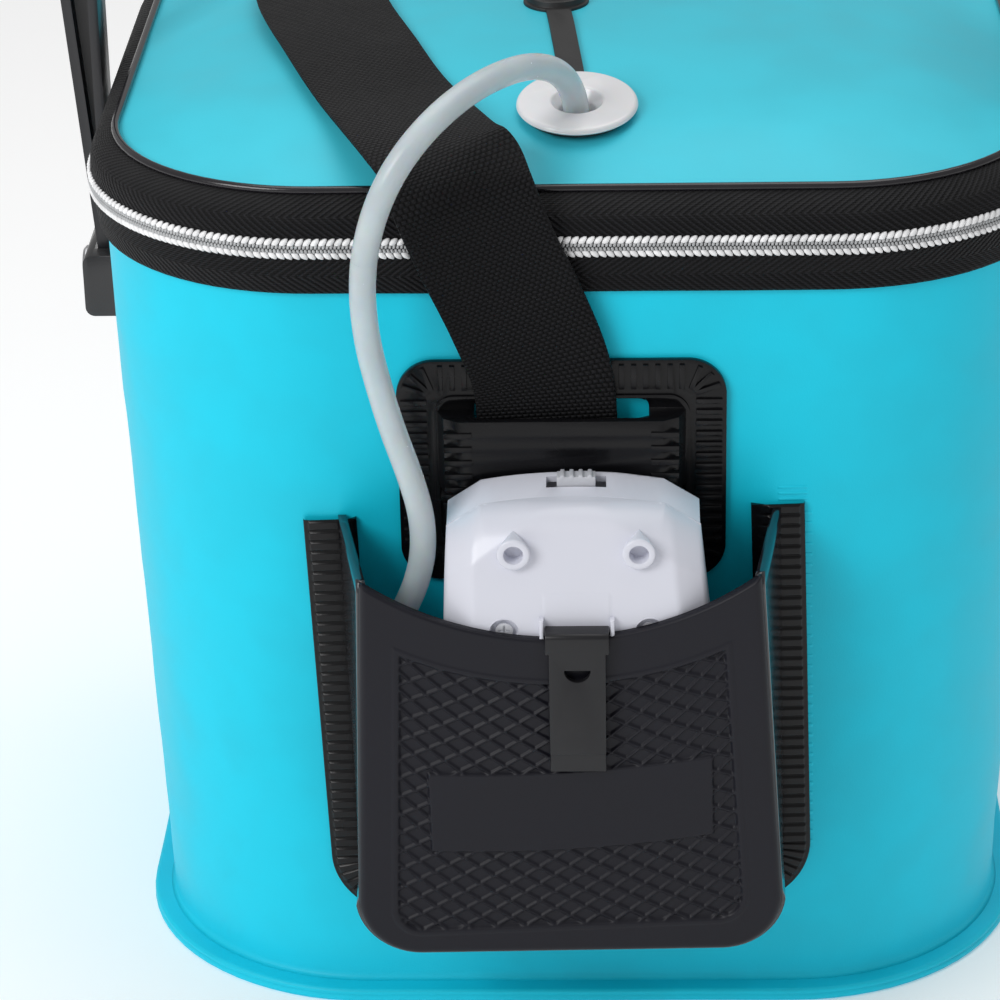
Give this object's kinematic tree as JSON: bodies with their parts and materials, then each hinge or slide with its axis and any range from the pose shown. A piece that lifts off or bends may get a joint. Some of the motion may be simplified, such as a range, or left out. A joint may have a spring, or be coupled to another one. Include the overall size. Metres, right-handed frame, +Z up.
{
  "type": "aerated bait bucket",
  "caption": "Soft-sided square bait bucket with a zipped domed lid, swing bail, shoulder strap and a battery air pump in a moulded front pocket, its hose led through a lid grommet.",
  "frame": {"origin": "centre of the underside, where the bucket stands", "axes": "+Z up, the pump pocket faces -Y, +X to the right seen from the pocket side"},
  "size_m": [0.322, 0.3237, 0.4015],
  "materials": {
    "eva_tub": "welded EVA sheet, satin, fine pebble",
    "eva_lid": "moulded EVA sheet, satin",
    "zip_fabric": "black twill tape",
    "zip_coil": "silver-grey coil teeth",
    "welt_vinyl": "glossy dark grey piping",
    "white_plastic": "glossy white",
    "black_rubber": "black rubber, satin",
    "moulded_pvc": "moulded black PVC, satin",
    "webbing": "black woven polyester webbing",
    "black_plastic": "black acetal, semi-gloss",
    "pump_white": "glossy white ABS",
    "cell_wrap": "plain printed-free sleeve",
    "spring_steel": "nickel plated",
    "motor_steel": "zinc plated can",
    "acetal": "natural acetal",
    "screw_steel": "plated steel",
    "silicone": "translucent silicone",
    "air_stone": "bonded mineral grit, rough",
    "bail_plastic": "black moulded nylon, semi-gloss",
    "grip_rubber": "ribbed black rubber",
    "slider_metal": "plated zinc"
  },
  "bodies": {
    "bucket": {"tub_shell": "eva_tub", "base_board": "eva_tub", "rim_binding": "zip_fabric", "zip_tape_lower": "zip_fabric", "zip_teeth_lower": "zip_coil", "hinge_tape": "zip_fabric", "strap_patch_front": "moulded_pvc", "strap_patch_back": "moulded_pvc", "shoulder_strap": "webbing", "strap_adjuster": "black_plastic", "pump_pocket": "moulded_pvc", "bracket_left": "black_plastic", "bracket_right": "black_plastic", "pivot_pins": "screw_steel", "air_hose": "silicone", "air_stone": "air_stone"},
    "lid": {"lid_panel": "eva_lid", "zip_tape_upper": "zip_fabric", "zip_teeth_upper": "zip_coil", "lid_welt": "welt_vinyl", "grommet": "white_plastic", "grommet_nut": "white_plastic"},
    "plug": {"plug_tether": "black_rubber"},
    "bail": {"bail_handle": "bail_plastic", "bail_grip": "grip_rubber"},
    "pump": {"pump_back_case": "pump_white", "pump_front_case": "pump_white", "cells": "cell_wrap", "battery_contacts": "spring_steel", "pump_motor": "motor_steel", "push_rod": "acetal", "valve_box": "acetal", "diaphragm": "black_rubber", "outlet_nozzle": "pump_white", "belt_clip": "black_plastic", "case_screws": "screw_steel"},
    "battery_door": {"battery_cover": "pump_white"},
    "switch": {"pump_switch": "black_plastic"},
    "crank": {"crank_wheel": "acetal"},
    "slider": {"zip_slider": "slider_metal"},
    "pull": {"zip_pull": "slider_metal"}
  },
  "joints": [
    {"name": "lid_hinge", "type": "hinge", "parent": "bucket", "child": "lid", "pos_m": [0, 0.1338, 0.252], "axis": [-1, 0, 0], "range_deg": [0, 100], "deforming": ["air_hose", "shoulder_strap", "hinge_tape"]},
    {"name": "bail_swing", "type": "hinge", "parent": "bucket", "child": "bail", "pos_m": [0, 0, 0.1945], "axis": [-1, 0, 0], "range_deg": [0, 95]},
    {"name": "pump_lift", "type": "slide", "parent": "bucket", "child": "pump", "axis": [0, -0.0301, 0.9995], "range_m": [0, 0.085], "deforming": ["air_hose"]},
    {"name": "switch_slide", "type": "slide", "parent": "pump", "child": "switch", "axis": [1, 0, 0], "range_m": [-0.0025, 0.0025]},
    {"name": "crank_spin", "type": "hinge", "parent": "pump", "child": "crank", "pos_m": [-0.007, -0.15526, 0.16408], "axis": [1, 0, 0], "continuous": true},
    {"name": "battery_door_slide", "type": "slide", "parent": "pump", "child": "battery_door", "axis": [0, 0.0301, -0.9995], "range_m": [0, 0.012]},
    {"name": "plug_swivel", "type": "hinge", "parent": "lid", "child": "plug", "pos_m": [0.0015, -0.08931, 0.27826], "axis": [0, -0.1643, 0.9864], "range_deg": [-10, 3]},
    {"name": "zip_slide", "type": "slide", "parent": "bucket", "child": "slider", "axis": [0, 1, 0], "range_m": [0, 0.03]},
    {"name": "pull_swing", "type": "hinge", "parent": "slider", "child": "pull", "pos_m": [0.1483, -0.054, 0.252], "axis": [0, -1, 0], "range_deg": [0, 150]}
  ],
  "couplings": [
    {"joint": "bail_swing", "follows": "lid_hinge", "ratio": 0.95}
  ]
}
